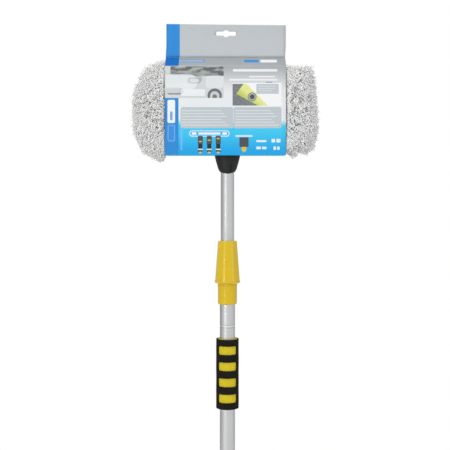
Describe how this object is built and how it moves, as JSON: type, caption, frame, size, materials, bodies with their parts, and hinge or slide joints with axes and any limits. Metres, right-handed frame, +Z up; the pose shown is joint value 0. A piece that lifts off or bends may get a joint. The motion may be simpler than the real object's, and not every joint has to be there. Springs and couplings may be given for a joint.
{
  "type": "telescopic wash brush",
  "caption": "Telescopic wash brush with a soft pile head in a hang card, a twist-lock pole, foam grips, and a hose valve with a thumb slider.",
  "frame": {"origin": "on the handle's axis, in the end face of the hose nipple at the handle's lower end", "axes": "+Z up the handle towards the head, -Y towards the card's printed front and the thumb slider, +X to the right of someone who looks at the front"},
  "size_m": [0.3086, 0.0922, 1.1875],
  "materials": {
    "fibre": "matte",
    "card": "satin",
    "black_plastic": "satin",
    "yellow_plastic": "satin",
    "white_plastic": "satin",
    "tube": "satin",
    "black_foam": "matte",
    "yellow_foam": "matte",
    "seal": "matte",
    "screw": "satin"
  },
  "bodies": {
    "handle": {"outer_tube": "tube", "lock_collar": "yellow_plastic", "gland_seal": "seal", "upper_grip_liner": "yellow_foam", "upper_grip_sleeve": "black_foam", "lower_grip_liner": "yellow_foam", "lower_grip_sleeve": "black_foam", "valve_housing": "yellow_plastic", "housing_seal": "seal", "hose_nipple": "yellow_plastic", "nipple_washer": "seal", "hose_seal": "seal"},
    "pole_seal": {"plug_seal": "seal"},
    "head": {"inner_tube": "tube", "tube_plug": "black_plastic", "socket": "black_plastic", "socket_washer": "seal", "socket_screws": "screw", "head_shell": "black_plastic", "head_back_plate": "black_plastic", "plate_screws": "screw", "wash_pile": "fibre", "retail_card": "card"},
    "collet": {"collet": "white_plastic"},
    "lock_nut": {"lock_nut": "yellow_plastic"},
    "valve": {"valve_spool": "white_plastic", "spool_seals": "seal", "thumb_slider": "black_plastic"}
  },
  "joints": [
    {"name": "pole_extend", "type": "slide", "parent": "handle", "child": "pole_seal", "axis": [0, 0, 1], "range_m": [0, 0.554]},
    {"name": "pole_turn", "type": "hinge", "parent": "pole_seal", "child": "head", "pos_m": [0, 0, 0.11], "axis": [0, 0, 1], "continuous": true},
    {"name": "collet_rise", "type": "slide", "parent": "handle", "child": "collet", "axis": [0, 0, 1], "range_m": [0, 0.0015]},
    {"name": "nut_turn", "type": "hinge", "parent": "collet", "child": "lock_nut", "pos_m": [0, 0, 0.8], "axis": [0, 0, 1], "range_deg": [0, 180]},
    {"name": "valve_slide", "type": "slide", "parent": "handle", "child": "valve", "axis": [0, 0, 1], "range_m": [0, 0.012]}
  ],
  "couplings": [
    {"joint": "nut_turn", "follows": "collet_rise", "rad_per_m": 2094.4}
  ]
}
